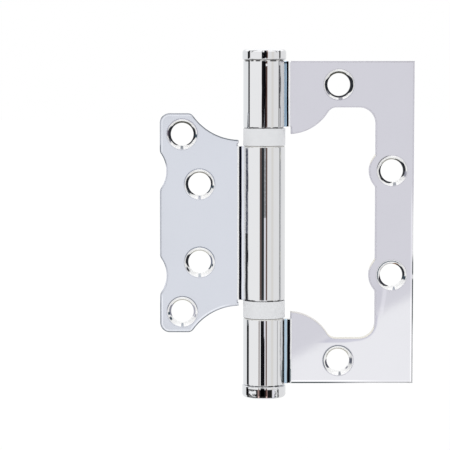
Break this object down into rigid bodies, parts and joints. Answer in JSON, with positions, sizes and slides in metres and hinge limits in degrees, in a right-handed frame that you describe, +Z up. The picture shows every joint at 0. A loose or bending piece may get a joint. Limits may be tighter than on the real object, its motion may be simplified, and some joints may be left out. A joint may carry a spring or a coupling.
{
  "type": "surface mount hinge",
  "caption": "Chromed non-mortise door hinge: the small leaf folds flat into the window of the large leaf, turning on ball bearings.",
  "frame": {"origin": "middle of the frame leaf's outer pair of screw holes, on the leaf's back face", "axes": "+Z up the hinge pin; +X from the pin towards the frame leaf; -Y out of the countersunk faces, away from the door frame"},
  "size_m": [0.0786, 0.0135, 0.1078],
  "materials": {
    "chromed_leaf": "bright chrome plate on pressed steel",
    "chromed_cap": "bright chrome plate on turned steel",
    "bright_steel": "ground steel, lightly oiled",
    "white_nylon": "white moulded nylon",
    "cage_nylon": "natural moulded nylon"
  },
  "bodies": {
    "frame_side": {"frame_leaf": "chromed_leaf", "hinge_pin": "bright_steel", "top_cap": "chromed_cap", "bottom_cap": "chromed_cap", "upper_bearing_sleeve": "white_nylon", "lower_bearing_sleeve": "white_nylon", "upper_bearing_upper_race": "bright_steel", "lower_bearing_lower_race": "bright_steel"},
    "door_side": {"door_leaf": "chromed_leaf", "upper_bearing_lower_race": "bright_steel", "lower_bearing_upper_race": "bright_steel"},
    "upper_cage": {"upper_bearing_ball_cage": "cage_nylon", "upper_bearing_balls": "bright_steel"},
    "lower_cage": {"lower_bearing_ball_cage": "cage_nylon", "lower_bearing_balls": "bright_steel"}
  },
  "joints": [
    {"name": "door_leaf_swing", "type": "hinge", "parent": "frame_side", "child": "door_side", "pos_m": [-0.023, -0.00125, 0], "axis": [0, 0, 1], "range_deg": [0, 180]},
    {"name": "upper_cage_turn", "type": "hinge", "parent": "frame_side", "child": "upper_cage", "pos_m": [-0.023, -0.00125, 0], "axis": [0, 0, 1], "range_deg": [0, 90]},
    {"name": "lower_cage_turn", "type": "hinge", "parent": "frame_side", "child": "lower_cage", "pos_m": [-0.023, -0.00125, 0], "axis": [0, 0, 1], "range_deg": [0, 90]}
  ],
  "couplings": [
    {"joint": "upper_cage_turn", "follows": "door_leaf_swing", "ratio": 0.5},
    {"joint": "lower_cage_turn", "follows": "door_leaf_swing", "ratio": 0.5}
  ]
}
